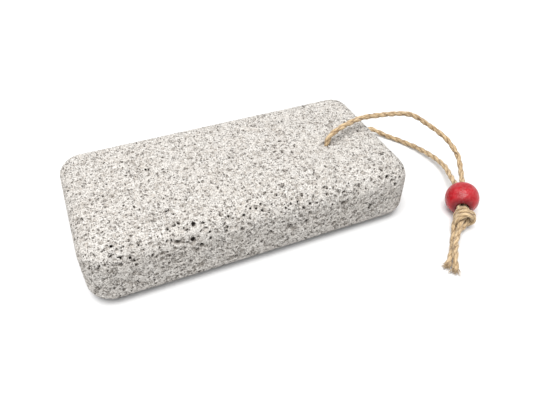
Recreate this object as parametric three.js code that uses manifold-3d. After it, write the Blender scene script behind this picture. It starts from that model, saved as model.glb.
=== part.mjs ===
// Pumice stone for feet and hands: a block of natural volcanic foam, a loop of
// twisted twine through a drilled hole, and a wooden bead held on by a knot.
// Millimetres, +Z up. The stone stands on z = 0, centred on the origin, long way along X.
import * as THREE from 'three';
import { mergeVertices } from 'three/addons/utils/BufferGeometryUtils.js';
import Module from 'manifold-3d';

const wasm = await Module();
wasm.setup();

// Stone block
const STONE_LENGTH = 95;
const STONE_WIDTH = 46;
const STONE_HEIGHT = 19;
const CORNER_RADIUS = 7; // upright corners
const EDGE_RADIUS = 4.5; // worn edges round the top and the underside
const WORN_EDGE_RADIUS = 6.5; // top edge at the end near the hole, more worn
const CORNER_STEPS = 8;
const EDGE_STEPS = 6;

// Twine, and the hole drilled for it through the block's thickness
const TWINE_DIAMETER = 1.5;
const TWINE_SIDES = 8;
const TWINE_STEP = 3.6;
const TWINE_LEAST_STEPS = 4;
const HOLE_DIAMETER = 2.4;
const HOLE = new THREE.Vector2(28.2, -3.2);
const HOLE_SIDES = 24;
const CUT_OVERRUN = 1; // how far a cut passes the face it opens in

// Furrow in the underside, from the hole out to the end, where the lower leg lies
const FURROW_END = new THREE.Vector2(47.5, 14.5);
const FURROW_ROOF = 2.2;
const FURROW_BEND = 2.1; // radius at which the hole turns into the furrow
const FURROW_LENGTH = 30;
const FURROW_SETBACK = 0.84; // its blind end, behind the hole's axis
const FURROW_BEND_STEPS = 6;

// Bead, lying on its side with its bore level
const BEAD_RADIUS = 5;
const BEAD_HALF_LENGTH = 4.4;
const BORE_RADIUS = 1.98;
const MOUTH_BEVEL = 0.3; // how much wider the bore is at its mouth
const MOUTH_DEPTH = 0.25;
const BEAD_CENTRE = new THREE.Vector3(63.0, -27.7, BEAD_RADIUS);
const BEAD_AXIS = new THREE.Vector3(-0.589, -0.808, 0).normalize();
const BEAD_SEGMENTS = 28;
const BEAD_ARC_STEPS = 14;

// Knot that stops the bead
const KNOT_RADIUS = 3.4;
const KNOT_END_RADIUS = 2.5;
const KNOT_HALF_LENGTH = 2.2;
const KNOT_CENTRE = new THREE.Vector3(59.4, -33.8, 3.5);
const KNOT_SEGMENTS = 16;
const KNOT_ARC_STEPS = 8;

const WELD_DISTANCE = 0.0001;

// Routes of the twine, chosen by hand. The two legs meet inside the hole.
const UPPER_LEG = [
  [28.2, -3.2, 9.7], [28.2, -3.2, 12.7], [28.2, -3.2, 15.9], [28.3, -3.2, 18.6],
  [29.4, -3.0, 21.0], [31.6, -2.6, 22.1], [34.1, -1.8, 22.4], [36.9, -1.0, 22.5],
  [39.8, -0.3, 22.5], [42.8, 0.2, 22.3], [45.9, 0.5, 21.8], [49.0, 0.8, 21.2],
  [52.2, 1.0, 20.6], [55.3, 1.2, 19.9], [58.5, 1.3, 19.1], [61.6, 1.0, 18.0],
  [64.2, 0.3, 16.5], [66.4, -0.8, 14.9], [68.3, -2.2, 13.5], [70.0, -3.8, 12.2],
  [71.3, -5.8, 11.1], [72.0, -8.1, 10.0], [72.3, -10.4, 8.9], [72.1, -13.0, 7.9],
  [71.2, -15.5, 6.8], [69.9, -18.1, 5.9], [68.2, -21.0, 5.3], [66.2, -24.7, 5.0],
  [63.6, -28.2, 5.0], [61.1, -31.8, 5.0],
];
const LOWER_LEG = [
  [28.2, -3.2, 9.3], [28.2, -3.2, 7.0], [28.2, -3.2, 4.6], [28.5, -2.9, 2.6],
  [29.4, -2.1, 1.4], [30.9, -0.7, 1.0], [34.1, 2.2, 1.0], [37.8, 5.6, 1.0],
  [41.5, 9.0, 1.0], [45.2, 12.4, 1.0], [47.5, 14.5, 1.2], [49.1, 16.0, 1.0],
  [50.6, 17.2, 1.2], [52.4, 18.2, 1.5], [54.4, 18.8, 1.9], [56.7, 19.0, 2.3],
  [58.9, 18.4, 2.4], [61.0, 16.8, 1.8], [63.0, 14.4, 1.1], [65.0, 11.7, 0.9],
  [67.2, 7.9, 0.9], [68.8, 3.7, 1.3], [69.8, -0.8, 1.8], [70.2, -5.9, 2.4],
  [69.5, -11.4, 3.2], [68.0, -15.6, 3.6], [66.4, -19.6, 4.2], [64.8, -23.7, 5.0],
  [62.3, -27.2, 5.0], [59.7, -30.7, 5.0],
];
const UPPER_TAIL = [
  [56.9, -35.3, 3.5], [55.7, -36.5, 3.0], [54.3, -37.9, 2.8], [52.8, -39.2, 2.7],
  [51.3, -40.7, 2.7], [50.0, -42.2, 2.6], [48.8, -43.8, 2.5], [47.8, -45.2, 2.0],
  [47.0, -46.7, 1.3], [46.1, -47.8, 0.9],
];
const LOWER_TAIL = [
  [55.8, -34.1, 2.2], [55.0, -35.6, 1.4], [53.7, -37.1, 1.0], [52.2, -38.8, 0.9],
  [50.9, -40.4, 0.9], [49.5, -41.8, 0.9], [48.0, -43.3, 0.9], [46.7, -44.5, 0.9],
  [45.3, -45.5, 0.9],
];

const stoneFinish = { color: 0xc9c4bf, roughness: 0.95, metalness: 0 };
const twineFinish = { color: 0xc8a878, roughness: 0.9, metalness: 0 };
const beadFinish = { color: 0xc4202e, roughness: 0.35, metalness: 0 };

const part = new THREE.Group();

function addPiece(name, geometry, finish) {
  const piece = new THREE.Mesh(geometry, new THREE.MeshStandardMaterial(finish));
  piece.name = name;
  part.add(piece);
  return piece;
}

function toSolid(geometry) {
  const shared = geometry.clone();
  shared.deleteAttribute('normal');
  shared.deleteAttribute('uv');
  const merged = mergeVertices(shared, WELD_DISTANCE);
  return new wasm.Manifold(new wasm.Mesh({
    numProp: 3,
    vertProperties: new Float32Array(merged.attributes.position.array),
    triVerts: new Uint32Array(merged.index.array),
  }));
}

function toGeometry(solid) {
  const mesh = solid.getMesh();
  const geometry = new THREE.BufferGeometry();
  geometry.setAttribute('position', new THREE.BufferAttribute(mesh.vertProperties, 3));
  geometry.setIndex(new THREE.BufferAttribute(mesh.triVerts, 1));
  return geometry;
}

// One level of the block: its rounded outline, moved in and up by parts of an edge's radius.
function addLevel(points, inset, rise, upper) {
  for (let quarter = 0; quarter < 4; quarter += 1) {
    const start = quarter * Math.PI / 2;
    const towardX = Math.sign(Math.cos(start + Math.PI / 4));
    const towardY = Math.sign(Math.sin(start + Math.PI / 4));
    const edge = upper && towardX > 0 ? WORN_EDGE_RADIUS : EDGE_RADIUS;
    const radius = CORNER_RADIUS - edge * inset;
    const height = upper ? STONE_HEIGHT - edge * rise : edge * rise;
    for (let i = 0; i <= CORNER_STEPS; i += 1) {
      const angle = start + i / CORNER_STEPS * Math.PI / 2;
      const x = towardX * (STONE_LENGTH / 2 - CORNER_RADIUS) + radius * Math.cos(angle);
      const y = towardY * (STONE_WIDTH / 2 - CORNER_RADIUS) + radius * Math.sin(angle);
      points.push([x, y, height]);
    }
  }
}

// The block: rounded outlines stacked so that the top and bottom edges roll over.
function blockSolid() {
  const points = [];
  for (let i = 0; i <= EDGE_STEPS; i += 1) {
    const angle = i / EDGE_STEPS * Math.PI / 2;
    const inset = 1 - Math.sin(angle);
    const rise = 1 - Math.cos(angle);
    addLevel(points, inset, rise, false);
    addLevel(points, inset, rise, true);
  }
  return wasm.Manifold.hull(points);
}

function holeGeometry() {
  const length = STONE_HEIGHT + 2 * CUT_OVERRUN;
  const radius = HOLE_DIAMETER / 2;
  const geometry = new THREE.CylinderGeometry(radius, radius, length, HOLE_SIDES);
  return geometry.rotateX(Math.PI / 2).translate(HOLE.x, HOLE.y, STONE_HEIGHT / 2);
}

// The furrow's side view, extruded to the hole's width and turned to its direction.
function furrowGeometry() {
  const bendStart = FURROW_SETBACK + FURROW_BEND;
  const side = new THREE.Shape();
  side.moveTo(-FURROW_SETBACK, -CUT_OVERRUN);
  side.lineTo(FURROW_LENGTH, -CUT_OVERRUN);
  side.lineTo(FURROW_LENGTH, FURROW_ROOF);
  side.lineTo(bendStart, FURROW_ROOF);
  side.absarc(bendStart, FURROW_ROOF + FURROW_BEND, FURROW_BEND, -Math.PI / 2, -Math.PI, true);
  side.lineTo(-FURROW_SETBACK, FURROW_ROOF + FURROW_BEND);
  const geometry = new THREE.ExtrudeGeometry(side, {
    depth: HOLE_DIAMETER,
    bevelEnabled: false,
    curveSegments: FURROW_BEND_STEPS,
  });
  const heading = FURROW_END.clone().sub(HOLE).angle();
  geometry.translate(0, 0, -HOLE_DIAMETER / 2).rotateX(Math.PI / 2);
  return geometry.rotateZ(heading).translate(HOLE.x, HOLE.y, 0);
}

function twineGeometry(points) {
  const route = new THREE.CatmullRomCurve3(points.map((p) => new THREE.Vector3(...p)), false, 'centripetal');
  const section = new THREE.Shape();
  for (let i = 0; i < TWINE_SIDES; i += 1) {
    const angle = (i + 0.5) * 2 * Math.PI / TWINE_SIDES;
    const x = TWINE_DIAMETER / 2 * Math.cos(angle);
    const y = TWINE_DIAMETER / 2 * Math.sin(angle);
    if (i === 0) section.moveTo(x, y);
    else section.lineTo(x, y);
  }
  section.closePath();
  const steps = Math.max(TWINE_LEAST_STEPS, Math.round(route.getLength() / TWINE_STEP));
  return new THREE.ExtrudeGeometry(section, { steps, extrudePath: route, bevelEnabled: false });
}

// A turned bead: a ball cut off square at both ends, with a bore through it.
function beadGeometry() {
  const mouthRadius = BORE_RADIUS + MOUTH_BEVEL;
  const start = Math.atan2(BEAD_HALF_LENGTH, mouthRadius);
  const profile = [new THREE.Vector2(BORE_RADIUS, -BEAD_HALF_LENGTH + MOUTH_DEPTH)];
  for (let i = 0; i <= BEAD_ARC_STEPS; i += 1) {
    const angle = -start + 2 * start * i / BEAD_ARC_STEPS;
    profile.push(new THREE.Vector2(BEAD_RADIUS * Math.cos(angle), BEAD_RADIUS * Math.sin(angle)));
  }
  profile.push(new THREE.Vector2(BORE_RADIUS, BEAD_HALF_LENGTH - MOUTH_DEPTH));
  profile.push(profile[0].clone());
  return new THREE.LatheGeometry(profile, BEAD_SEGMENTS);
}

// The knot's outer shape: a short barrel with flat ends, where the twine goes in and out.
function knotGeometry() {
  const profile = [new THREE.Vector2(0, -KNOT_HALF_LENGTH)];
  for (let i = 0; i <= KNOT_ARC_STEPS; i += 1) {
    const along = -1 + 2 * i / KNOT_ARC_STEPS;
    const bulge = Math.sqrt(1 - along * along * (1 - (KNOT_END_RADIUS / KNOT_RADIUS) ** 2));
    profile.push(new THREE.Vector2(KNOT_RADIUS * bulge, along * KNOT_HALF_LENGTH));
  }
  profile.push(new THREE.Vector2(0, KNOT_HALF_LENGTH));
  return new THREE.LatheGeometry(profile, KNOT_SEGMENTS);
}

function layAlong(piece, centre, axis) {
  piece.position.copy(centre);
  piece.quaternion.setFromUnitVectors(new THREE.Vector3(0, 1, 0), axis);
}

const twineRoom = toSolid(holeGeometry()).add(toSolid(furrowGeometry()));
addPiece('pumice_stone', toGeometry(blockSolid().subtract(twineRoom)), stoneFinish);

layAlong(addPiece('bead', beadGeometry(), beadFinish), BEAD_CENTRE, BEAD_AXIS);
layAlong(addPiece('knot', knotGeometry(), twineFinish), KNOT_CENTRE, BEAD_AXIS);

addPiece('twine_upper_leg', twineGeometry(UPPER_LEG), twineFinish);
addPiece('twine_lower_leg', twineGeometry(LOWER_LEG), twineFinish);
addPiece('twine_upper_tail', twineGeometry(UPPER_TAIL), twineFinish);
addPiece('twine_lower_tail', twineGeometry(LOWER_TAIL), twineFinish);

export default part;
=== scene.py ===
import math
import bpy
import numpy as np
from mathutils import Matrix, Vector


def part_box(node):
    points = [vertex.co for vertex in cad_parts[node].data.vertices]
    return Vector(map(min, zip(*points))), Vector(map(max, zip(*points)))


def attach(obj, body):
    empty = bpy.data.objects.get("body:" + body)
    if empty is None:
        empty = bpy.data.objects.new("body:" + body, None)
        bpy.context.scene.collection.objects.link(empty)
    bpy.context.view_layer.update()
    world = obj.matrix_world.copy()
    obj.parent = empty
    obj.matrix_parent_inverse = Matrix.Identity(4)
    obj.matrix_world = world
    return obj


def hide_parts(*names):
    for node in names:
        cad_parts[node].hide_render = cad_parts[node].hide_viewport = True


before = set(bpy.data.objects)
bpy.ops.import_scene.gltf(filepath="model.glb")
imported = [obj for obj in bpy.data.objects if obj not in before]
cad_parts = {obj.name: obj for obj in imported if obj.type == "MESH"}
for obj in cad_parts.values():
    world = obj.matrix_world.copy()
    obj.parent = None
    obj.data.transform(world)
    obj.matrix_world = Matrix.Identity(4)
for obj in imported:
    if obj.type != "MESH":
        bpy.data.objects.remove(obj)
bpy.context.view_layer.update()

import openvdb
from mathutils import noise

# A block of natural pumice with a twine loop through it, a red bead and a knot.
# Everything is in metres; the lengths given in millimetres are turned into metres by mm.

mm = 0.001
scene = bpy.context.scene


# the camera stands in front of the block, to its left and above it
cameraView = {
    "place": (-38.5 * mm, -115.3 * mm, 112.2 * mm),
    "azimuth": -22.9,
    "elevation": 41.93,
    "lens": 35.8,
    "sensor": 36.0,
    "clipStart": 5 * mm,
}


def addCamera(values):
    data = bpy.data.cameras.new("camera")
    data.lens = values["lens"]
    data.sensor_width = values["sensor"]
    data.clip_start = values["clipStart"]
    camera = bpy.data.objects.new("camera", data)
    camera.location = values["place"]
    tilt = math.radians(90.0 - values["elevation"])
    camera.rotation_euler = (tilt, 0.0, math.radians(values["azimuth"]))
    scene.collection.objects.link(camera)
    scene.camera = camera


addCamera(cameraView)
print("camera placed")


def meshObject(name, points, faces, smooth=True):
    # a piece from arrays: its points, and faces that all have the same number of corners
    mesh = bpy.data.meshes.new(name)
    faces = np.asarray(faces, np.int32)
    corners = faces.shape[1]
    mesh.vertices.add(len(points))
    mesh.vertices.foreach_set("co", np.asarray(points, np.float32).ravel())
    mesh.loops.add(faces.size)
    mesh.loops.foreach_set("vertex_index", faces.ravel())
    mesh.polygons.add(len(faces))
    mesh.polygons.foreach_set("loop_start", np.arange(len(faces), dtype=np.int32) * corners)
    mesh.update(calc_edges=True)
    mesh.validate()
    if smooth:
        mesh.shade_smooth()
    else:
        mesh.shade_flat()
    piece = bpy.data.objects.new(name, mesh)
    scene.collection.objects.link(piece)
    return piece


def unit(vectors):
    return vectors / np.maximum(np.linalg.norm(vectors, axis=-1, keepdims=True), 1e-12)


def evenPath(points, step):
    # a smooth curve through the points, then spaced evenly along its length
    finePerPoint = 24
    points = np.asarray(points, float)
    gaps = np.sqrt(np.linalg.norm(np.diff(points, axis=0), axis=1))
    knots = np.concatenate([[0.0], np.cumsum(gaps)])
    slopes = np.gradient(points, knots, axis=0)
    fine = np.linspace(0.0, knots[-1], len(points) * finePerPoint)
    at = np.clip(np.searchsorted(knots, fine, side="right") - 1, 0, len(points) - 2)
    width = (knots[at + 1] - knots[at])[:, None]
    t = (fine - knots[at])[:, None] / width
    curve = ((2 * t**3 - 3 * t**2 + 1) * points[at]
             + (t**3 - 2 * t**2 + t) * width * slopes[at]
             + (3 * t**2 - 2 * t**3) * points[at + 1]
             + (t**3 - t**2) * width * slopes[at + 1])
    along = lengthAlong(curve)
    count = max(int(round(along[-1] / step)), 4)
    stops = np.linspace(0.0, along[-1], count + 1)
    return np.stack([np.interp(stops, along, curve[:, axis]) for axis in range(3)], axis=1)


def lengthAlong(path):
    return np.concatenate([[0.0], np.cumsum(np.linalg.norm(np.diff(path, axis=0), axis=1))])


def carriedFrames(path):
    # two directions across the path that turn with it and never spin about it
    startHint = (0.3, 0.2, 0.93)  # any direction that no path starts in
    tangents = unit(np.gradient(path, axis=0))
    first = np.cross(tangents[0], startHint)
    sides = [first / np.linalg.norm(first)]
    for tangent in tangents[1:]:
        side = sides[-1] - tangent * np.dot(sides[-1], tangent)
        sides.append(side / np.linalg.norm(side))
    sides = np.array(sides)
    return sides, np.cross(tangents, sides)


def tubeFaces(rings, sides, start=0):
    # the four-cornered faces of a tube whose points are numbered ring by ring
    ring, side = np.meshgrid(np.arange(rings - 1), np.arange(sides), indexing="ij")
    here = ring * sides + side
    nextSide = ring * sides + (side + 1) % sides
    return np.stack([here, nextSide, nextSide + sides, here + sides], -1).reshape(-1, 4) + start


# the twine: two cords that start together in the hole and end in the two tails
twineLook = {
    "diameter": 1.5 * mm,
    "plyRadius": 0.61 * mm,
    "plyOffset": 0.23 * mm,
    "pitch": 6.6 * mm,
    "looseEnd": 3.0 * mm,  # the plies open over this length before the cut
    "looseTimes": 0.6,
    "step": 0.26 * mm,
    "sides": 14,
    "lobes": 5,
    "lobeDepth": 0.07,
    "lobeTwist": 0.6,
    "unevenness": 0.09,
    "swellTimes": 1.6,
    "swellLength": 2.5 * mm,
    "roughLength": 0.9 * mm,
    "roughAround": 1.7,
    "creaseShadeFrom": 0.56 * mm,
    "creaseShadeTo": 0.72 * mm,
    "pairHalf": 0.8 * mm,
    "knotCentre": 7.35 * mm,
    "knotShift": -0.7 * mm,
    "knotDrop": -1.5 * mm,
    "wrapRadius": 2.4 * mm,
    "wrapStart": -80.0,
    "wrapTurns": 1.47,
    "wrapStops": 14,
    "wrapTight": 0.72,  # the first and last part of the turn, as a share of its radius
    "wrapAdvance": 3.3 * mm,
    "wrapLean": 0.35 * mm,
    "wrapLift": 0.12 * mm,
    "hairEvery": 0.55 * mm,
    "hairLength": 1.1 * mm,
    "hairWidth": 0.05 * mm,
    "hairRoot": 0.42,  # how far out hairs start, as a share of the diameter
    "hairFirst": 40,  # the first stop along the twine that has hairs
    "hairLast": 12,  # and how many stops before the end have none
    "frayCount": 70,
    "frayLength": 2.4 * mm,
    "frayWidthTimes": 2.8,
    "fraySpread": 0.48,
    "frayRoot": 0.6 * mm,
    "lowest": 0.05 * mm,
}

# the routes, in millimetres: each leg runs from the middle of the hole into the bead,
# and each tail from the knot to its end
upperLeg = [
    (28.2, -3.2, 9.7), (28.2, -3.2, 12.7), (28.2, -3.2, 15.9), (28.3, -3.2, 18.6),
    (29.4, -3.0, 21.0), (31.6, -2.6, 22.1), (34.1, -1.8, 22.4), (36.9, -1.0, 22.5),
    (39.8, -0.3, 22.5), (42.8, 0.2, 22.3), (45.9, 0.5, 21.8), (49.0, 0.8, 21.2),
    (52.2, 1.0, 20.6), (55.3, 1.2, 19.9), (58.5, 1.3, 19.1), (61.6, 1.0, 18.0),
    (64.2, 0.3, 16.5), (66.4, -0.8, 14.9), (68.3, -2.2, 13.5), (70.0, -3.8, 12.2),
    (71.3, -5.8, 11.1), (72.0, -8.1, 10.0), (72.3, -10.4, 8.9), (72.1, -13.0, 7.9),
    (71.2, -15.5, 6.8), (69.9, -18.1, 5.9), (68.2, -21.0, 5.3), (66.2, -24.7, 5.0),
    (63.6, -28.2, 5.0), (61.1, -31.8, 5.0),
]
lowerLeg = [
    (28.2, -3.2, 9.3), (28.2, -3.2, 7.0), (28.2, -3.2, 4.6), (28.5, -2.9, 2.6),
    (29.4, -2.1, 1.4), (30.9, -0.7, 1.0), (34.1, 2.2, 1.0), (37.8, 5.6, 1.0),
    (41.5, 9.0, 1.0), (45.2, 12.4, 1.0), (47.5, 14.5, 1.2), (49.1, 16.0, 1.0),
    (50.6, 17.2, 1.2), (52.4, 18.2, 1.5), (54.4, 18.8, 1.9), (56.7, 19.0, 2.3),
    (58.9, 18.4, 2.4), (61.0, 16.8, 1.8), (63.0, 14.4, 1.1), (65.0, 11.7, 0.9),
    (67.2, 7.9, 0.9), (68.8, 3.7, 1.3), (69.8, -0.8, 1.8), (70.2, -5.9, 2.4),
    (69.5, -11.4, 3.2), (68.0, -15.6, 3.6), (66.4, -19.6, 4.2), (64.8, -23.7, 5.0),
    (62.3, -27.2, 5.0), (59.7, -30.7, 5.0),
]
upperTail = [
    (56.9, -35.3, 3.5), (55.7, -36.5, 3.0), (54.3, -37.9, 2.8), (52.8, -39.2, 2.7),
    (51.3, -40.7, 2.7), (50.0, -42.2, 2.6), (48.8, -43.8, 2.5), (47.8, -45.2, 2.0),
    (47.0, -46.7, 1.3), (46.1, -47.8, 0.9),
]
lowerTail = [
    (55.8, -34.1, 2.2), (55.0, -35.6, 1.4), (53.7, -37.1, 1.0), (52.2, -38.8, 0.9),
    (50.9, -40.4, 0.9), (49.5, -41.8, 0.9), (48.0, -43.3, 0.9), (46.7, -44.5, 0.9),
    (45.3, -45.5, 0.9),
]

beadLow, beadHigh = [np.array(corner, float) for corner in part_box("bead")]
beadCentre = (beadLow + beadHigh) / 2
beadAxis = np.array((-0.589, -0.808, 0.0))  # the way the twine runs through the bead
beadSide = np.array((-0.808, 0.589, 0.0))
upward = np.array((0.0, 0.0, 1.0))


def fromBead(along, sideways, lift):
    return beadCentre + beadAxis * along + beadSide * sideways + upward * lift


def knotPath(values, hand):
    # out of the bead, down beside the core, round it from below, then back through and out
    shift, drop, middle = values["knotShift"], values["knotDrop"], values["knotCentre"]
    half = hand * values["pairHalf"]
    path = [
        fromBead(5.1 * mm, shift * 0.2 - half * 1.2, -0.05 * mm),
        fromBead(6.2 * mm, shift * 0.6 - half * 1.25, -0.55 * mm),
        fromBead(7.3 * mm, shift * 0.9 - half * 1.0, drop),
        fromBead(8.3 * mm, shift - half * 0.8, drop - 0.9 * mm),
    ]
    turns, radius, stops = values["wrapTurns"], values["wrapRadius"], values["wrapStops"]
    tight = values["wrapTight"]
    for stop in range(stops + 1):
        part = stop / stops
        angle = math.radians(values["wrapStart"]) + part * turns * 2 * math.pi
        ease = min(1.0, 5.0 * part, 5.0 * (1.0 - part))
        reach = radius * (tight + (1.0 - tight) * ease)
        lean = values["wrapLean"] * math.cos(angle)
        path.append(fromBead(
            middle + values["wrapAdvance"] * (0.5 - part) + half * 0.92 + lean,
            shift + reach * math.cos(angle),
            drop + reach * math.sin(angle) + values["wrapLift"]))
    path.append(fromBead(6.7 * mm, shift + 0.3 * mm - half * 0.4, drop + 0.9 * mm))
    path.append(fromBead(8.1 * mm, shift + 1.3 * mm - half * 0.8,
                         drop + 0.2 * mm + half * 0.4))
    return path


def twinePoints(leg, tail, hand):
    start = [np.array(point) * mm for point in leg]
    end = [np.array(point) * mm for point in tail]
    return evenPath(start + knotPath(twineLook, hand) + end, twineLook["step"])


def plyMesh(centre, values, turn, seed):
    # one ply: a lobed tube that winds about the cord's own centre line
    side, across = carriedFrames(centre)
    along = lengthAlong(centre)
    spin = 2 * math.pi * along / values["pitch"] + turn
    tight = np.clip((along[-1] - along) / values["looseEnd"], 0.0, 1.0)
    offset = values["plyOffset"] * (1.0 + values["looseTimes"] * (1.0 - tight))
    outward = np.cos(spin)[:, None] * side + np.sin(spin)[:, None] * across
    line = centre + offset[:, None] * outward
    side, across = carriedFrames(line)
    sides = values["sides"]
    angles = np.linspace(0.0, 2 * math.pi, sides, endpoint=False)
    swell = np.array([noise.noise((place / values["swellLength"], seed, 0.0)) for place in along])
    radius = values["plyRadius"] * (1.0 + values["unevenness"] * values["swellTimes"] * swell)
    swirl = angles[None, :] + spin[:, None] * values["lobeTwist"] + 1.5 * swell[:, None]
    lobes = 1.0 + values["lobeDepth"] * np.cos(values["lobes"] * swirl)
    around = values["roughAround"]
    turns = [(math.cos(angle) * around, math.sin(angle) * around + seed) for angle in angles]
    rough = np.array([[noise.noise((wide, high, place / values["roughLength"])) for wide, high in turns]
                      for place in along])
    reach = radius[:, None] * (lobes + values["unevenness"] * rough)
    outward = (np.cos(angles)[None, :, None] * side[:, None, :]
               + np.sin(angles)[None, :, None] * across[:, None, :])
    points = line[:, None, :] + reach[..., None] * outward
    lengthwise = np.repeat(along[:, None] / mm, sides, 1) + seed * 7
    grain = np.stack([np.cos(swirl), np.sin(swirl), lengthwise], -1)
    # how near each point lies to the crease between the plies, where painted shade goes
    away = np.linalg.norm(points - centre[:, None, :], axis=2)
    band = values["creaseShadeTo"] - values["creaseShadeFrom"]
    creaseShade = np.clip((values["creaseShadeTo"] - away) / band, 0.0, 1.0)
    caps = [line[0], line[-1] + unit(line[-1] - line[-2]) * values["plyRadius"] * 0.5]
    return points.reshape(-1, 3), grain.reshape(-1, 3), creaseShade.ravel(), caps, len(along)


def hairMesh(roots, courses, lengths, width, draw):
    # thin bent hairs, four-sided and closed
    rings, sides = 5, 4
    parts = np.linspace(0.0, 1.0, rings)
    bend = unit(np.cross(courses, draw.normal(size=courses.shape)))
    flat = unit(np.cross(courses, bend))
    curl = draw.uniform(0.1, 0.6, len(roots))
    spine = (roots[:, None] + courses[:, None] * (lengths[:, None] * parts)[..., None]
             + bend[:, None] * (lengths[:, None] * curl[:, None] * parts**2)[..., None])
    taper = (width / 2 * (1.0 - 0.6 * parts))[None, :, None]
    wide, deep = flat[:, None] * taper, bend[:, None] * taper * 0.6
    points = np.stack([spine - wide, spine - deep, spine + wide, spine + deep], 2).reshape(-1, 3)
    ends = np.array([[3, 2, 1, 0], np.arange(sides) + (rings - 1) * sides])
    hair = np.concatenate([tubeFaces(rings, sides), ends])
    starts = np.arange(len(roots)) * rings * sides
    faces = (hair[None] + starts[:, None, None]).reshape(-1, 4)
    return points, faces


def addHairs(centre, values, seed):
    # loose fibres along the twine and a brush of them at its cut end
    draw = np.random.default_rng(int(seed))
    side, across = carriedFrames(centre)
    tangents = unit(np.gradient(centre, axis=0))
    count = int(lengthAlong(centre)[-1] / values["hairEvery"])
    at = draw.integers(values["hairFirst"], len(centre) - values["hairLast"], count)
    turn = draw.uniform(0.0, 2 * math.pi, count)[:, None]
    outward = np.cos(turn) * side[at] + np.sin(turn) * across[at]
    roots = centre[at] + outward * values["diameter"] * values["hairRoot"]
    lie = draw.choice([-1.0, 1.0], count)[:, None]
    courses = unit(outward * draw.uniform(0.15, 0.7, (count, 1))
                   + tangents[at] * lie
                   + np.cross(tangents[at], outward) * draw.normal(0.0, 0.5, (count, 1)))
    lengths = values["hairLength"] * draw.uniform(0.5, 1.4, count)
    points, faces = hairMesh(roots, courses, lengths, values["hairWidth"], draw)

    brush = values["frayCount"]
    turn = draw.uniform(0.0, 2 * math.pi, brush)[:, None]
    reach = values["diameter"] * values["fraySpread"] * np.sqrt(draw.uniform(0.0, 1.0, (brush, 1)))
    outward = np.cos(turn) * side[-1] + np.sin(turn) * across[-1]
    roots = centre[-1] + outward * reach - tangents[-1] * values["frayRoot"]
    flare = reach / values["diameter"] * draw.uniform(0.3, 2.2, (brush, 1))
    courses = unit(tangents[-1] + outward * flare)
    lengths = values["frayLength"] * draw.uniform(0.4, 1.0, brush)
    width = values["hairWidth"] * values["frayWidthTimes"]
    tuft, tuftFaces = hairMesh(roots, courses, lengths, width, draw)
    return np.concatenate([points, tuft]), np.concatenate([faces, tuftFaces + len(points)])


def addValues(piece, name, kind, values):
    # keeps a value for each of the piece's points, for its finish to read
    attribute = piece.data.attributes.new(name, kind, "POINT")
    slot = "vector" if kind == "FLOAT_VECTOR" else "value"
    attribute.data.foreach_set(slot, values.astype(np.float32).ravel())


def addTwine(name, centre, values, seed):
    points, grains, creaseShades, faces, count = [], [], [], [], 0
    sides = values["sides"]
    for ply in range(2):
        turn = ply * math.pi
        ringPoints, grain, creaseShade, caps, rings = plyMesh(centre, values, turn, seed + ply)
        points += [ringPoints, np.array(caps)]
        grains += [grain, grain[[0, -1]]]
        creaseShades += [creaseShade, np.zeros(2)]
        faces.append(tubeFaces(rings, sides, count))
        headCap, tailCap = count + rings * sides, count + rings * sides + 1
        last = count + (rings - 1) * sides
        for side in range(0, sides, 2):
            after, second = (side + 1) % sides, (side + 2) % sides
            faces.append(np.array([[headCap, count + second, count + after, count + side],
                                   [tailCap, last + side, last + after, last + second]]))
        count += rings * sides + 2
    hairs, hairFaces = addHairs(centre, values, seed)
    hairs[:, 2] = np.maximum(hairs[:, 2], values["lowest"])
    points.append(hairs)
    grains.append(hairs / mm)
    creaseShades.append(np.zeros(len(hairs)))
    faces.append(hairFaces + count)
    piece = meshObject(name, np.concatenate(points), np.concatenate(faces))
    addValues(piece, "grainPlace", "FLOAT_VECTOR", np.concatenate(grains))
    addValues(piece, "creaseShade", "FLOAT", np.concatenate(creaseShades))
    return piece


upperPath = twinePoints(upperLeg, upperTail, 1.0)
lowerPath = twinePoints(lowerLeg, lowerTail, -1.0)
twineUpper = addTwine("twine_upper", upperPath, twineLook, 1.0)
twineLower = addTwine("twine_lower", lowerPath, twineLook, 4.0)


# the stone: a sanded block of glassy foam
stoneLook = {
    "size": (95.0 * mm, 46.0 * mm, 19.0 * mm),
    "cornerRadius": 7.0 * mm,
    "edgeRadius": 4.5 * mm,
    "wornEdge": 6.5 * mm,
    "voxel": 0.16 * mm,
    "margin": 0.8 * mm,
    "cellSpacing": 0.9 * mm,
    "cellJitter": 0.4,
    "cellRadius": 0.42 * mm,
    "cellSpread": 0.3,
    "cellLift": 0.28 * mm,
    "cellLiftSpread": 0.14 * mm,
    "cellSlack": 0.1 * mm,
    "wall": 0.16 * mm,
    "poreSpacing": 1.9 * mm,
    "poreJitter": 0.5,
    "poreRadius": 0.33 * mm,
    "poreRange": (0.55, 1.2),
    "poreDepth": 1.7 * mm,
    "poreDepthRange": (0.4, 1.0),
    "poreSlant": 0.35,
    "largeShare": 0.07,
    "largeTimes": 1.75,
    "holeRadius": 1.1 * mm,
    "holeStops": 60,  # stops of the upper leg that the hole is cut round
    "furrowEnd": 52 * mm,
    "triangles": 194000,
    "seed": 31,
}


def roundedBox(across, up, radius):
    # how far a place lies outside two sides that meet in a rounded corner
    outside = np.hypot(np.maximum(across, 0), np.maximum(up, 0))
    return outside + np.minimum(np.maximum(across, up), 0) - radius


def blockDistance(x, y, z, values):
    # below zero inside the rounded block, above zero outside it
    halfX, halfY, halfZ = [side / 2 for side in values["size"]]
    corner = values["cornerRadius"]
    # the top edge is more worn towards the end with the hole
    wear = np.clip(0.5 + 0.5 * x / (halfX - corner), 0, 1) * (z > halfZ)
    edge = values["edgeRadius"] + (values["wornEdge"] - values["edgeRadius"]) * wear
    outline = roundedBox(np.abs(x) - halfX + corner, np.abs(y) - halfY + corner, corner)
    return roundedBox(outline + edge, np.abs(z - halfZ) - halfZ + edge, edge)


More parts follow.
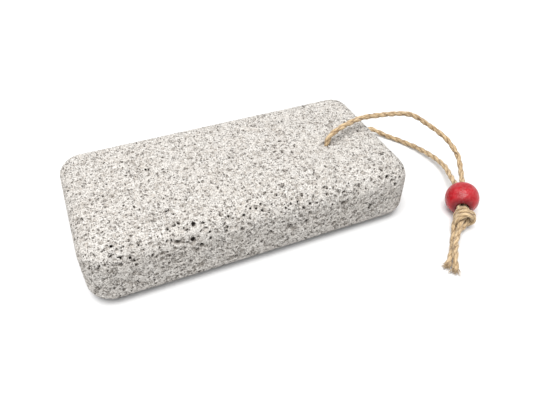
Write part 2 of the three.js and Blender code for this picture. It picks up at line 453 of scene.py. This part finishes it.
def outwardFrom(places, values):
    # the direction straight out of the block at each place
    step = 0.1 * mm
    slopes = [blockDistance(*(places + offset).T, values)
              - blockDistance(*(places - offset).T, values)
              for offset in np.eye(3) * step]
    return unit(np.stack(slopes, 1))


def skinPlaces(low, high, spacing, jitter, values, draw):
    # places scattered evenly over the block's skin, and how they face
    counts = np.ceil((high - low) / spacing).astype(int)
    cells = np.meshgrid(*[np.arange(count) for count in counts], indexing="ij")
    cells = np.stack(cells, -1).reshape(-1, 3)
    odd = (cells[:, 2] + cells[:, 1]) % 2 * 0.5
    shift = np.stack([odd, cells[:, 2] % 2 * 0.5, cells[:, 0] % 2 * 0.5], -1)
    places = low + (cells + shift + draw.uniform(-jitter, jitter, cells.shape)) * spacing
    distance = blockDistance(*places.T, values)
    places = places[np.abs(distance) < spacing * 0.5]
    facing = outwardFrom(places, values)
    return places - facing * blockDistance(*places.T, values)[:, None], facing


def stoneField(values, low, high):
    # the distance to the foam's surface at each step of a grid, below zero in the stone
    far = 9.0
    draw = np.random.default_rng(values["seed"])
    step = values["voxel"]
    axes = [np.arange(start, end + step, step, dtype=np.float32) for start, end in zip(low, high)]
    grid = np.meshgrid(*axes, indexing="ij", sparse=True)
    block = blockDistance(*grid, values).astype(np.float32)
    nearest = np.full(block.shape, far, np.float32)
    second = np.full(block.shape, far, np.float32)

    def window(place, reach):
        # the part of the grid near a place, and how far its steps lie from it
        first = [max(int((place[axis] - reach - low[axis]) / step), 0) for axis in range(3)]
        last = [max(int((place[axis] + reach - low[axis]) / step) + 2, 0) for axis in range(3)]
        spot = tuple(slice(a, b) for a, b in zip(first, last))
        dx, dy, dz = [axes[axis][spot[axis]] - np.float32(place[axis]) for axis in range(3)]
        return spot, dx[:, None, None], dy[None, :, None], dz[None, None, :]

    # bubbles that the sanded face cuts open, with thin walls where two of them meet
    spacing, jitter = values["cellSpacing"], values["cellJitter"]
    bubbles, facing = skinPlaces(low, high, spacing, jitter, values, draw)
    lift = draw.normal(values["cellLift"], values["cellLiftSpread"], len(bubbles))
    bubbles = bubbles + facing * lift[:, None]
    radii = values["cellRadius"] * np.exp(draw.normal(0.0, values["cellSpread"], len(bubbles)))
    for bubble, radius in zip(bubbles, radii):
        spot, dx, dy, dz = window(bubble, spacing + radius)
        gap = np.sqrt(dx**2 + dy**2 + dz**2) - np.float32(radius)
        near, later = nearest[spot], second[spot]
        np.minimum(later, np.maximum(near, gap), out=later)
        np.minimum(near, gap, out=near)
    hollow = np.minimum((second - nearest - values["wall"]) / 2, values["cellSlack"] - nearest)

    # narrow pores that run on into the stone
    spacing, jitter, deep = values["poreSpacing"], values["poreJitter"], values["poreDepth"]
    pores, facing = skinPlaces(low, high, spacing, jitter, values, draw)
    for pore, outward in zip(pores, facing):
        radius = values["poreRadius"] * draw.uniform(*values["poreRange"])
        if draw.uniform() < values["largeShare"]:
            radius *= values["largeTimes"]
        course = unit(outward + draw.normal(0.0, values["poreSlant"], 3))
        spot, dx, dy, dz = window(pore, deep + radius)
        along = dx * course[0] + dy * course[1] + dz * course[2]
        along = np.clip(along, -deep * draw.uniform(*values["poreDepthRange"]), deep)
        away = np.sqrt((dx - along * course[0])**2
                       + (dy - along * course[1])**2
                       + (dz - along * course[2])**2)
        np.maximum(hollow[spot], (radius - away).astype(np.float32), out=hollow[spot])

    # the hole for the twine, and the furrow in which its lower leg lies
    radius, inFurrow = values["holeRadius"], lowerPath[:, 0] < values["furrowEnd"]
    for place in list(lowerPath[inFurrow]) + list(upperPath[:values["holeStops"]]):
        spot, dx, dy, dz = window(place, radius)
        np.maximum(hollow[spot], radius - np.sqrt(dx**2 + dy**2 + dz**2), out=hollow[spot])
    return np.maximum(block, hollow)


def dropModifiers(piece):
    view = bpy.context.evaluated_depsgraph_get()
    shaped = bpy.data.meshes.new_from_object(piece.evaluated_get(view), depsgraph=view)
    piece.modifiers.clear()
    piece.data = shaped


def largestPart(count, triangles):
    # marks the points of the largest connected part, so that no crumbs or closed bubbles stay
    label = np.arange(count)
    while True:
        before = label.copy()
        for first, second in ((0, 1), (1, 2), (2, 0)):
            ends = label[triangles[:, first]], label[triangles[:, second]]
            np.minimum.at(label, np.maximum(*ends), np.minimum(*ends))
        label = label[label]
        if np.array_equal(label, before):
            break
    return label == np.bincount(label).argmax()


def pointsOf(mesh):
    points = np.empty(len(mesh.vertices) * 3, np.float32)
    mesh.vertices.foreach_get("co", points)
    return points.reshape(-1, 3)


def withoutCrumbs(piece):
    mesh = piece.data
    points = pointsOf(mesh)
    mesh.calc_loop_triangles()
    triangles = np.empty(len(mesh.loop_triangles) * 3, np.int32)
    mesh.loop_triangles.foreach_get("vertices", triangles)
    triangles = triangles.reshape(-1, 3)
    kept = largestPart(len(mesh.vertices), triangles)
    place = np.cumsum(kept) - 1
    faces = place[triangles[kept[triangles[:, 0]]]]
    bpy.data.objects.remove(piece)
    return meshObject("pumice", points[kept], faces)


def addStone(values):
    half = np.array(values["size"]) / 2
    low = np.array([-half[0], -half[1], 0.0]) - values["margin"]
    high = np.array([half[0], half[1], 2 * half[2]]) + values["margin"]
    grid = openvdb.FloatGrid(9.0)
    grid.copyFromArray(stoneField(values, low, high) / values["voxel"])
    points, _, quads = grid.convertToPolygons(isovalue=0.0, adaptivity=0.0)
    print("foam cut:", len(quads), "faces")
    stone = meshObject("foam", points * values["voxel"] + low, quads[:, ::-1])
    thin = stone.modifiers.new("thin", "DECIMATE")
    thin.ratio = values["triangles"] / (2.0 * len(quads))
    dropModifiers(stone)
    stone = withoutCrumbs(stone)
    # how many millimetres each point lies below the sanded face
    depth = -blockDistance(*pointsOf(stone.data).T, values) / mm
    addValues(stone, "depth", "FLOAT", depth)
    return stone


stone = addStone(stoneLook)
print("stone made:", len(stone.data.polygons), "faces")


def addNode(tree, kind, values=None, **settings):
    node = tree.nodes.new(kind)
    for name, value in settings.items():
        setattr(node, name, value)
    for name, value in (values or {}).items():
        node.inputs[name].default_value = value
    return node


def join(tree, output, target):
    tree.links.new(output, target)


def newGroup(name, inputs, outputs):
    # an effect that several finishes share, with named inputs and outputs
    group = bpy.data.node_groups.new(name, "ShaderNodeTree")
    for title, kind, value in inputs:
        socket = group.interface.new_socket(name=title, in_out="INPUT", socket_type=kind)
        if value is not None:
            socket.default_value = value
    for title, kind in outputs:
        group.interface.new_socket(name=title, in_out="OUTPUT", socket_type=kind)
    return group, group.nodes.new("NodeGroupInput"), group.nodes.new("NodeGroupOutput")


def useGroup(tree, group, values=None):
    node = tree.nodes.new("ShaderNodeGroup")
    node.node_tree = group
    for name, value in (values or {}).items():
        node.inputs[name].default_value = value
    return node


def makeMottle():
    # slow, cloudy change of tone; 0.5 on average
    inputs = [("Place", "NodeSocketVector", None), ("Size", "NodeSocketFloat", 1.0),
              ("Contrast", "NodeSocketFloat", 1.0)]
    group, entry, result = newGroup("mottle", inputs, [("Tone", "NodeSocketFloat")])
    scale = addNode(group, "ShaderNodeMath", {0: 1.0}, operation="DIVIDE")
    cloud = addNode(group, "ShaderNodeTexNoise", {"Detail": 3.0, "Roughness": 0.6})
    centred = addNode(group, "ShaderNodeMath", {1: 0.5}, operation="SUBTRACT")
    spread = addNode(group, "ShaderNodeMath", operation="MULTIPLY")
    shifted = addNode(group, "ShaderNodeMath", {1: 0.5}, operation="ADD", use_clamp=True)
    join(group, entry.outputs["Size"], scale.inputs[1])
    join(group, entry.outputs["Place"], cloud.inputs["Vector"])
    join(group, scale.outputs[0], cloud.inputs["Scale"])
    join(group, cloud.outputs["Fac"], centred.inputs[0])
    join(group, centred.outputs[0], spread.inputs[0])
    join(group, entry.outputs["Contrast"], spread.inputs[1])
    join(group, spread.outputs[0], shifted.inputs[0])
    join(group, shifted.outputs[0], result.inputs["Tone"])
    return group


def makePits():
    # small round pits scattered over a surface: how deep, and where
    inputs = [("Place", "NodeSocketVector", None), ("Size", "NodeSocketFloat", 1.0),
              ("Share", "NodeSocketFloat", 0.5)]
    outputs = [("Pit", "NodeSocketFloat"), ("Height", "NodeSocketFloat")]
    group, entry, result = newGroup("pits", inputs, outputs)
    scale = addNode(group, "ShaderNodeMath", {0: 1.0}, operation="DIVIDE")
    cells = addNode(group, "ShaderNodeTexVoronoi", {"Randomness": 1.0})
    chance = addNode(group, "ShaderNodeSeparateColor")
    chosen = addNode(group, "ShaderNodeMath", operation="LESS_THAN")
    slope = {"From Min": 0.12, "From Max": 0.42, "To Min": 1.0, "To Max": 0.0}
    bowl = addNode(group, "ShaderNodeMapRange", slope, interpolation_type="SMOOTHSTEP")
    pit = addNode(group, "ShaderNodeMath", operation="MULTIPLY")
    height = addNode(group, "ShaderNodeMath", {0: 1.0}, operation="SUBTRACT")
    join(group, entry.outputs["Size"], scale.inputs[1])
    join(group, entry.outputs["Place"], cells.inputs["Vector"])
    join(group, scale.outputs[0], cells.inputs["Scale"])
    join(group, cells.outputs["Color"], chance.inputs["Color"])
    join(group, chance.outputs["Red"], chosen.inputs[0])
    join(group, entry.outputs["Share"], chosen.inputs[1])
    join(group, cells.outputs["Distance"], bowl.inputs["Value"])
    join(group, bowl.outputs["Result"], pit.inputs[0])
    join(group, chosen.outputs[0], pit.inputs[1])
    join(group, pit.outputs[0], height.inputs[1])
    join(group, pit.outputs[0], result.inputs["Pit"])
    join(group, height.outputs[0], result.inputs["Height"])
    return group


def makeDust():
    # pale stone dust, which settles on what faces up and in patches
    inputs = [("Place", "NodeSocketVector", None), ("Amount", "NodeSocketFloat", 0.3),
              ("Size", "NodeSocketFloat", 1.0)]
    group, entry, result = newGroup("dust", inputs, [("Cover", "NodeSocketFloat")])
    surface = addNode(group, "ShaderNodeNewGeometry")
    split = addNode(group, "ShaderNodeSeparateXYZ")
    upper = addNode(group, "ShaderNodeMapRange", {"From Min": -0.2, "From Max": 1.0})
    scale = addNode(group, "ShaderNodeMath", {0: 1.0}, operation="DIVIDE")
    patches = addNode(group, "ShaderNodeTexNoise", {"Detail": 4.0, "Roughness": 0.7})
    broken = addNode(group, "ShaderNodeMapRange", {"From Min": 0.42, "From Max": 0.68})
    cover = addNode(group, "ShaderNodeMath", operation="MULTIPLY")
    amount = addNode(group, "ShaderNodeMath", operation="MULTIPLY", use_clamp=True)
    join(group, surface.outputs["Normal"], split.inputs[0])
    join(group, split.outputs["Z"], upper.inputs["Value"])
    join(group, entry.outputs["Size"], scale.inputs[1])
    join(group, entry.outputs["Place"], patches.inputs["Vector"])
    join(group, scale.outputs[0], patches.inputs["Scale"])
    join(group, patches.outputs["Fac"], broken.inputs["Value"])
    join(group, broken.outputs["Result"], cover.inputs[0])
    join(group, upper.outputs["Result"], cover.inputs[1])
    join(group, cover.outputs[0], amount.inputs[0])
    join(group, entry.outputs["Amount"], amount.inputs[1])
    join(group, amount.outputs[0], result.inputs["Cover"])
    return group


white = (1.0, 1.0, 1.0, 1.0)
mottle = makeMottle()
pits = makePits()
dust = makeDust()


def newMaterial(name, values):
    material = bpy.data.materials.new(name)
    material.use_nodes = True
    tree = material.node_tree
    shader = tree.nodes["Principled BSDF"]
    for title, value in values.items():
        shader.inputs[title].default_value = value
    return material, tree, shader


def placeInMillimetres(tree):
    place = addNode(tree, "ShaderNodeTexCoord")
    scaled = addNode(tree, "ShaderNodeVectorMath", {"Scale": 1 / mm}, operation="SCALE")
    join(tree, place.outputs["Object"], scaled.inputs[0])
    return scaled.outputs[0]


def blend(tree, factor, first, second, kind="MIX"):
    # a colour mix; first and second are colours or sockets
    mixer = addNode(tree, "ShaderNodeMix", data_type="RGBA", blend_type=kind)
    sockets = mixer.inputs[0], mixer.inputs[6], mixer.inputs[7]
    for socket, value in zip(sockets, (factor, first, second)):
        if isinstance(value, bpy.types.NodeSocket):
            join(tree, value, socket)
        else:
            socket.default_value = value
    return mixer.outputs[2]


def ramp(tree, value, low, high):
    # 0 below low, 1 above high, smooth between
    node = addNode(tree, "ShaderNodeMapRange", {"From Min": low, "From Max": high},
                   interpolation_type="SMOOTHSTEP")
    join(tree, value, node.inputs["Value"])
    return node.outputs["Result"]


def bump(tree, height, distance, strength, below=None):
    node = addNode(tree, "ShaderNodeBump", {"Distance": distance, "Strength": strength})
    join(tree, height, node.inputs["Height"])
    if below is not None:
        join(tree, below, node.inputs["Normal"])
    return node.outputs["Normal"]


# the stone's finish: pale rims, greyer bubbles and dark pores, the grey and the dark being painted
# shade that grows with depth below the sanded face
# sizes and heights are in millimetres here, except where mm is written
pumiceFinish = {
    "rim": (0.525, 0.511, 0.488, 1.0),
    "inside": (0.46, 0.438, 0.41, 1.0),
    "deep": (0.065, 0.056, 0.05, 1.0),
    "warm": (0.93, 0.905, 0.88, 1.0),
    "pitShade": (0.14, 0.12, 0.108, 1.0),
    "insideFrom": 0.05,
    "insideTo": 0.4,
    "deepShadeFrom": 0.7,
    "deepShadeTo": 1.3,
    "baseShadeFrom": 1.2,
    "baseShadeTo": 2.6,
    "baseShade": (0.4, 0.39, 0.38, 1.0),
    "cloudSize": 5.0,
    "speckSize": 0.34,
    "speckDark": (0.6, 0.585, 0.57, 1.0),
    "speckPale": (1.38, 1.38, 1.38, 1.0),
    "pits": [
        {"size": 0.42, "share": 0.62, "shadeStrength": 0.85, "depth": 0.15 * mm, "strength": 0.8},
        {"size": 0.62, "share": 0.5, "shadeStrength": 0.85, "depth": 0.25 * mm, "strength": 0.9},
        {"size": 1.0, "share": 0.22, "shadeStrength": 0.9, "depth": 0.35 * mm, "strength": 0.8},
    ],
}


def makePumice(values):
    material, tree, shader = newMaterial("pumice", {"Roughness": 0.95, "Specular IOR Level": 0.2})
    place = placeInMillimetres(tree)
    depth = addNode(tree, "ShaderNodeAttribute", attribute_name="depth").outputs["Fac"]
    cloud = useGroup(tree, mottle, {"Size": values["cloudSize"], "Contrast": 1.6})
    speck = useGroup(tree, mottle, {"Size": values["speckSize"], "Contrast": 3.0})
    join(tree, place, cloud.inputs["Place"])
    join(tree, place, speck.inputs["Place"])
    # painted shade: darker, slightly browner inside the cut bubbles, and near black deep in the pores
    inside = ramp(tree, depth, values["insideFrom"], values["insideTo"])
    deep = ramp(tree, depth, values["deepShadeFrom"], values["deepShadeTo"])
    colour = blend(tree, inside, values["rim"], values["inside"])
    colour = blend(tree, deep, colour, values["deep"])
    warm = blend(tree, cloud.outputs["Tone"], white, values["warm"])
    colour = blend(tree, 1.0, colour, warm, "MULTIPLY")
    shade = blend(tree, speck.outputs["Tone"], values["speckDark"], values["speckPale"])
    colour = blend(tree, 1.0, colour, shade, "MULTIPLY")
    # painted shade: the lowest few millimetres are darkened, as a contact shadow along the base
    height = addNode(tree, "ShaderNodeSeparateXYZ")
    join(tree, place, height.inputs[0])
    aboveBaseShade = ramp(tree, height.outputs["Z"], values["baseShadeFrom"], values["baseShadeTo"])
    colour = blend(tree, 1.0, colour, blend(tree, aboveBaseShade, values["baseShade"], white), "MULTIPLY")
    # three sizes of pits, each sunk deeper than the last, with painted shade darkening them
    normal = bump(tree, speck.outputs["Tone"], 0.12 * mm, 0.6)
    for pit in values["pits"]:
        node = useGroup(tree, pits, {"Size": pit["size"], "Share": pit["share"]})
        join(tree, place, node.inputs["Place"])
        # painted shade: each pit is darkened towards a near-black brown
        pitShaded = blend(tree, pit["shadeStrength"], colour, values["pitShade"])
        colour = blend(tree, node.outputs["Pit"], colour, pitShaded)
        normal = bump(tree, node.outputs["Height"], pit["depth"], pit["strength"], normal)
    join(tree, colour, shader.inputs["Base Color"])
    join(tree, normal, shader.inputs["Normal"])
    return material


# the twine's finish
twineFinish = {
    "pale": (0.6, 0.45, 0.265, 1.0),
    "dark": (0.2, 0.115, 0.05, 1.0),
    "speck": (0.12, 0.07, 0.032, 1.0),
    "creaseShade": (0.19, 0.112, 0.05, 1.0),
    "dust": 0.1,
    "fibre": (3.2, 3.2, 0.5),  # how fine the streaks are across, and along the ply
}


def makeTwineFibre(values):
    surface = {"Roughness": 0.8, "Specular IOR Level": 0.3,
               "Sheen Weight": 0.25, "Sheen Roughness": 0.5}
    material, tree, shader = newMaterial("twine_fibre", surface)
    grain = addNode(tree, "ShaderNodeAttribute", attribute_name="grainPlace").outputs["Vector"]
    # fibres run along the ply, so the pattern is squeezed along it
    stretched = addNode(tree, "ShaderNodeVectorMath", {1: values["fibre"]}, operation="MULTIPLY")
    join(tree, grain, stretched.inputs[0])
    streaks = addNode(tree, "ShaderNodeTexNoise", {"Scale": 1.0, "Detail": 4.0, "Roughness": 0.65})
    join(tree, stretched.outputs[0], streaks.inputs["Vector"])
    blotch = useGroup(tree, mottle, {"Size": 2.2, "Contrast": 1.6})
    join(tree, grain, blotch.inputs["Place"])
    powder = useGroup(tree, dust, {"Amount": values["dust"], "Size": 1.5})
    join(tree, placeInMillimetres(tree), powder.inputs["Place"])
    streak = ramp(tree, streaks.outputs["Fac"], 0.36, 0.6)
    spot = ramp(tree, blotch.outputs["Tone"], 0.62, 0.9)
    colour = blend(tree, streak, values["dark"], values["pale"])
    colour = blend(tree, spot, colour, values["speck"])
    creaseShade = addNode(tree, "ShaderNodeAttribute", attribute_name="creaseShade").outputs["Fac"]
    # painted shade in the crease between the plies
    colour = blend(tree, creaseShade, colour, values["creaseShade"])
    colour = blend(tree, powder.outputs["Cover"], colour, pumiceFinish["rim"])
    join(tree, colour, shader.inputs["Base Color"])
    join(tree, bump(tree, streaks.outputs["Fac"], 0.12 * mm, 0.9), shader.inputs["Normal"])
    return material


# the bead: a turned wooden ball with a bore, dipped in red paint
beadLook = {
    "radius": 5.0 * mm,
    "boreRadius": 1.72 * mm,
    "rimRound": 0.22 * mm,
    "turns": 96,
    "paint": (0.26, 0.002, 0.006, 1.0),
    "thinPaint": (0.42, 0.012, 0.02, 1.0),
    "mouthShade": (0.09, 0.001, 0.003, 1.0),
    "mouthShadeFrom": 3.3,  # in millimetres from the middle
    "mouthShadeTo": 4.9,
    "outOfRound": 0.008,
    "swellLength": 3.4 * mm,
    "smoothest": 0.12,
    "roughest": 0.3,
    "dust": 0.07,
    "dustColour": (0.8, 0.62, 0.6, 1.0),
}


def addBead(values):
    radius, bore, soft = values["radius"], values["boreRadius"], values["rimRound"]
    # the outline from one mouth to the other: ball, rounded rim, bore
    reach = math.acos((bore + soft * 0.9) / radius)
    outline = [(radius * math.cos(angle), radius * math.sin(angle))
               for angle in np.linspace(-reach, reach, 41)]
    edge = outline[-1][1]
    rim = [(bore + soft * (1 - math.sin(turn)), edge - soft * 0.9 * (1 - math.cos(turn)))
           for turn in np.linspace(math.radians(12), math.radians(90), 7)]
    inner = [(bore, height) for height in np.linspace(edge - soft * 1.2, -edge + soft * 1.2, 12)]
    back = [(across, -height) for across, height in reversed(rim)]
    outline = outline + rim + inner + back
    turns, points = values["turns"], []
    for across, height in outline:
        for turn in range(turns):
            angle = 2 * math.pi * turn / turns
            points.append(beadCentre + beadAxis * height
                          + (beadSide * math.cos(angle) + upward * math.sin(angle)) * across)
    last = (len(outline) - 1) * turns
    seam = [[last + turn, last + (turn + 1) % turns, (turn + 1) % turns, turn] for turn in range(turns)]
    faces = np.concatenate([tubeFaces(len(outline), turns), seam])
    # hand-turned, so it is never quite round
    points = np.array(points)
    away = points - beadCentre
    swell = np.array([noise.noise(place / values["swellLength"]) for place in away])
    points = beadCentre + away * (1 + values["outOfRound"] * swell[:, None])
    return meshObject("bead_ball", points, faces)


def makeBeadPaint(values):
    material, tree, shader = newMaterial("bead_paint", {"Specular IOR Level": 0.32})
    place = placeInMillimetres(tree)
    cloud = useGroup(tree, mottle, {"Size": 2.4, "Contrast": 2.2})
    fine = useGroup(tree, mottle, {"Size": 0.5, "Contrast": 1.5})
    powder = useGroup(tree, dust, {"Amount": values["dust"], "Size": 0.9})
    for node in (cloud, fine, powder):
        join(tree, place, node.inputs["Place"])
    colour = blend(tree, cloud.outputs["Tone"], values["paint"], values["thinPaint"])
    # painted shade: the paint is darker towards the two mouths of the bore
    middle = float(np.dot(beadCentre, beadAxis)) / mm
    along = addNode(tree, "ShaderNodeVectorMath", {1: tuple(beadAxis)}, operation="DOT_PRODUCT")
    fromMiddle = addNode(tree, "ShaderNodeMath", {1: middle}, operation="SUBTRACT")
    reach = addNode(tree, "ShaderNodeMath", operation="ABSOLUTE")
    join(tree, place, along.inputs[0])
    join(tree, along.outputs["Value"], fromMiddle.inputs[0])
    join(tree, fromMiddle.outputs[0], reach.inputs[0])
    mouthShadeMask = ramp(tree, reach.outputs[0], values["mouthShadeFrom"], values["mouthShadeTo"])
    colour = blend(tree, mouthShadeMask, colour, values["mouthShade"])
    colour = blend(tree, powder.outputs["Cover"], colour, values["dustColour"])
    join(tree, colour, shader.inputs["Base Color"])
    gloss = {"To Min": values["smoothest"], "To Max": values["roughest"]}
    rough = addNode(tree, "ShaderNodeMapRange", gloss)
    join(tree, fine.outputs["Tone"], rough.inputs["Value"])
    join(tree, rough.outputs["Result"], shader.inputs["Roughness"])
    dimple = bump(tree, cloud.outputs["Tone"], 0.3 * mm, 0.7)
    join(tree, bump(tree, fine.outputs["Tone"], 0.05 * mm, 0.6, dimple), shader.inputs["Normal"])
    return material


bead = addBead(beadLook)
bead.data.materials.append(makeBeadPaint(beadLook))
stone.data.materials.append(makePumice(pumiceFinish))
twineFibre = makeTwineFibre(twineFinish)
twineUpper.data.materials.append(twineFibre)
twineLower.data.materials.append(twineFibre)
print("finishes made")


# the floor card and the light
studio = {
    "floorReach": 1.5,
    "floorDrop": 0.05 * mm,
    "floorColour": (0.7, 0.7, 0.7, 1.0),
    "floorGlow": 0.05,
    "worldStrength": 0.78,
    "softboxPower": 6.2,
    "softboxPlace": (-0.1, -0.12, 0.66),
    "softboxSize": 0.52,
}


def addFloor(values):
    reach = values["floorReach"]
    corners = [(-reach, -reach, 0), (reach, -reach, 0), (reach, reach, 0), (-reach, reach, 0)]
    floor = meshObject("floor", corners, [[0, 1, 2, 3]], smooth=False)
    floor.location.z = -values["floorDrop"]
    material, tree, shader = newMaterial("floor_card", {"Roughness": 0.9, "Specular IOR Level": 0.0})
    shader.inputs["Base Color"].default_value = values["floorColour"]
    shader.inputs["Emission Color"].default_value = white
    # the card shows whiter than the light it throws back on the stone
    seen = addNode(tree, "ShaderNodeLightPath")
    glow = addNode(tree, "ShaderNodeMath", {1: values["floorGlow"]}, operation="MULTIPLY")
    join(tree, seen.outputs["Is Camera Ray"], glow.inputs[0])
    join(tree, glow.outputs[0], shader.inputs["Emission Strength"])
    floor.data.materials.append(material)


def addLight(values):
    world = bpy.data.worlds.new("studio")
    scene.world = world
    world.use_nodes = True
    background = world.node_tree.nodes["Background"]
    background.inputs["Color"].default_value = white
    background.inputs["Strength"].default_value = values["worldStrength"]
    lamp = bpy.data.lights.new("softbox", "AREA")
    lamp.energy = values["softboxPower"]
    lamp.size = values["softboxSize"]
    softbox = bpy.data.objects.new("softbox", lamp)
    softbox.location = values["softboxPlace"]
    softbox.rotation_euler = (-softbox.location).to_track_quat("-Z", "Y").to_euler()
    scene.collection.objects.link(softbox)
    scene.view_settings.view_transform = "Standard"


addFloor(studio)
addLight(studio)
print("floor and light in place")


# what each piece rides on, and the CAD parts that the pieces stand for, hidden
for piece in (twineUpper, twineLower, stone, bead):
    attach(piece, "root")
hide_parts("twine_upper_leg", "twine_upper_tail", "knot")
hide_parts("twine_lower_leg", "twine_lower_tail")
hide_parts("pumice_stone")
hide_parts("bead")
